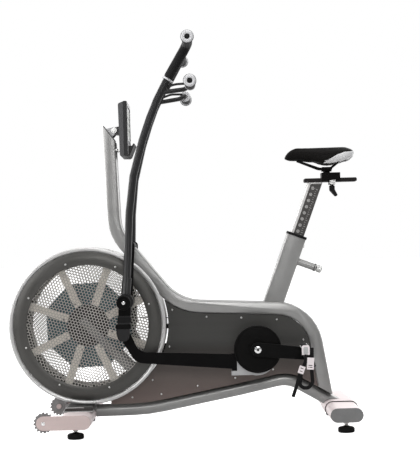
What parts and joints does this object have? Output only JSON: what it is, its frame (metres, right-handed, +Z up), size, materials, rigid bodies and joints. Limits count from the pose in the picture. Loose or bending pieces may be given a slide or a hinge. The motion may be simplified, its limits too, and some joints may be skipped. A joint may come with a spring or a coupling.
{
  "type": "air bike",
  "caption": "Fan-resistance exercise bike with swing handles linked to the cranks, adjustable saddle, tilting console and transport wheels.",
  "frame": {"origin": "on the floor, under the middle of the bounding box", "axes": "+X to the rear, +Y to the right of a seated rider, +Z up"},
  "size_m": [1.2496, 0.6268, 1.3775],
  "materials": {
    "frame": "satin grey powder coat",
    "drum": "rolled, silver",
    "guard": "dark brushed grey ring with a silver perforated window",
    "cover": "dark brushed grey sheet",
    "cap_grey": "satin mid grey",
    "light_metal": "light silver grey",
    "cast_grey": "as cast",
    "fan_silver": "mill finish",
    "steel": "bright",
    "black_metal": "satin black powder coat",
    "black_plastic": "fine grain",
    "shell_grey": "fine grain",
    "foam": "closed-cell foam",
    "saddle_vinyl": "black vinyl",
    "wheel_rubber": "moulded",
    "foot_rubber": "moulded",
    "belt": "ribbed"
  },
  "bodies": {
    "root": {"console_mast": "frame", "frame_spine": "frame", "lower_tube": "frame", "seat_tube": "frame", "seat_sleeve": "black_plastic", "front_base_bracket": "frame", "rear_saddle_bracket": "black_metal", "front_stabilizer": "frame", "rear_stabilizer": "frame", "front_end_plate_left": "light_metal", "front_end_plate_right": "light_metal", "rear_end_cap_left": "cap_grey", "rear_end_cap_right": "cap_grey", "side_cover_left": "cover", "side_cover_right": "cover", "fan_hoop": "drum", "fan_guard_left": "guard", "fan_guard_right": "guard", "fan_axle": "steel", "bottom_bracket": "frame", "drive_belt": "belt", "pivot_cross_tube": "black_metal", "pivot_hanger_left": "black_metal", "pivot_hanger_right": "black_metal", "foot_peg_left": "black_plastic", "foot_peg_right": "black_plastic", "console_lug": "light_metal"},
    "fan": {"fan_hub": "cast_grey", "fan_wheel": "fan_silver"},
    "crank": {"crank_axle": "steel", "crank_pulley": "cast_grey", "crank_disc_left": "black_metal", "crank_disc_right": "black_metal", "crank_arm_left": "black_metal", "crank_arm_right": "black_metal"},
    "pedal_left": {"pedal_left": "black_plastic"},
    "pedal_right": {"pedal_right": "black_plastic"},
    "handle_left": {"handle_left": "black_metal", "upper_grip_left": "foam", "lower_grip_left": "foam"},
    "handle_right": {"handle_right": "black_metal", "upper_grip_right": "foam", "lower_grip_right": "foam"},
    "rod_left": {"connecting_rod_left": "black_metal", "rod_strap_left": "light_metal"},
    "rod_right": {"connecting_rod_right": "black_metal", "rod_strap_right": "light_metal"},
    "seat_post": {"seat_post": "steel"},
    "saddle_carriage": {"saddle_carriage": "black_metal", "saddle": "saddle_vinyl"},
    "carriage_lever": {"carriage_lever": "black_plastic"},
    "pull_pin": {"pull_pin": "steel"},
    "console": {"console_shell": "shell_grey", "console_bezel": "black_plastic"},
    "wheel_left": {"transport_wheel_left": "wheel_rubber"},
    "wheel_right": {"transport_wheel_right": "wheel_rubber"},
    "foot_front_left": {"foot_front_left": "foot_rubber"},
    "foot_front_right": {"foot_front_right": "foot_rubber"},
    "foot_rear_left": {"foot_rear_left": "foot_rubber"},
    "foot_rear_right": {"foot_rear_right": "foot_rubber"}
  },
  "joints": [
    {"name": "crank_spin", "type": "hinge", "parent": "root", "child": "crank", "pos_m": [0.2498, 0, 0.285], "axis": [0, 1, 0], "continuous": true},
    {"name": "fan_spin", "type": "hinge", "parent": "root", "child": "fan", "pos_m": [-0.3472, 0, 0.377], "axis": [0, 1, 0], "continuous": true},
    {"name": "pedal_left_spin", "type": "hinge", "parent": "crank", "child": "pedal_left", "pos_m": [0.41688, -0.236, 0.26744], "axis": [0, 1, 0], "continuous": true},
    {"name": "pedal_right_spin", "type": "hinge", "parent": "crank", "child": "pedal_right", "pos_m": [0.08272, 0.236, 0.30256], "axis": [0, 1, 0], "continuous": true},
    {"name": "handle_left_swing", "type": "hinge", "parent": "root", "child": "handle_left", "pos_m": [-0.2052, -0.15, 0.463], "axis": [0, 1, 0], "range_deg": [-13.4, 11.8]},
    {"name": "handle_right_swing", "type": "hinge", "parent": "root", "child": "handle_right", "pos_m": [-0.2052, 0.15, 0.463], "axis": [0, 1, 0], "range_deg": [-11.8, 13.4]},
    {"name": "rod_left_pivot", "type": "hinge", "parent": "handle_left", "child": "rod_left", "pos_m": [-0.2162, -0.131, 0.348], "axis": [0, 1, 0], "range_deg": [-11.8, 13.4]},
    {"name": "rod_right_pivot", "type": "hinge", "parent": "handle_right", "child": "rod_right", "pos_m": [-0.21258, 0.131, 0.34771], "axis": [0, 1, 0], "range_deg": [-13.4, 11.8]},
    {"name": "seat_post_slide", "type": "slide", "parent": "root", "child": "seat_post", "axis": [0.3518, 0, 0.9361], "range_m": [-0.07, 0.093]},
    {"name": "saddle_carriage_slide", "type": "slide", "parent": "seat_post", "child": "saddle_carriage", "axis": [1, 0, 0], "range_m": [-0.021, 0.055]},
    {"name": "carriage_lever_turn", "type": "hinge", "parent": "saddle_carriage", "child": "carriage_lever", "pos_m": [0.5368, 0, 0.847], "axis": [0, 0, 1], "range_deg": [-70, 0]},
    {"name": "pull_pin_slide", "type": "slide", "parent": "root", "child": "pull_pin", "axis": [0.9361, 0, -0.3518], "range_m": [0, 0.012], "stiffness_N_per_m": 900, "springref_m": -0.008},
    {"name": "console_tilt", "type": "hinge", "parent": "root", "child": "console", "pos_m": [-0.2402, 0, 1.07], "axis": [0, 1, 0], "range_deg": [-20, 5]},
    {"name": "wheel_left_spin", "type": "hinge", "parent": "root", "child": "wheel_left", "pos_m": [-0.4902, -0.227, 0.0585], "axis": [0, 1, 0], "continuous": true},
    {"name": "wheel_right_spin", "type": "hinge", "parent": "root", "child": "wheel_right", "pos_m": [-0.4902, 0.227, 0.0585], "axis": [0, 1, 0], "continuous": true},
    {"name": "foot_front_left_screw", "type": "slide", "parent": "root", "child": "foot_front_left", "axis": [0, 0, -1], "range_m": [0, 0.012]},
    {"name": "foot_rear_left_screw", "type": "slide", "parent": "root", "child": "foot_rear_left", "axis": [0, 0, -1], "range_m": [0, 0.012]},
    {"name": "foot_front_right_screw", "type": "slide", "parent": "root", "child": "foot_front_right", "axis": [0, 0, -1], "range_m": [0, 0.012]},
    {"name": "foot_rear_right_screw", "type": "slide", "parent": "root", "child": "foot_rear_right", "axis": [0, 0, -1], "range_m": [0, 0.012]}
  ],
  "couplings": [
    {"joint": "fan_spin", "follows": "crank_spin", "ratio": 4},
    {"joint": "handle_right_swing", "follows": "handle_left_swing", "ratio": -1},
    {"joint": "rod_left_pivot", "follows": "handle_left_swing", "ratio": -1},
    {"joint": "rod_right_pivot", "follows": "handle_left_swing", "ratio": 1}
  ]
}
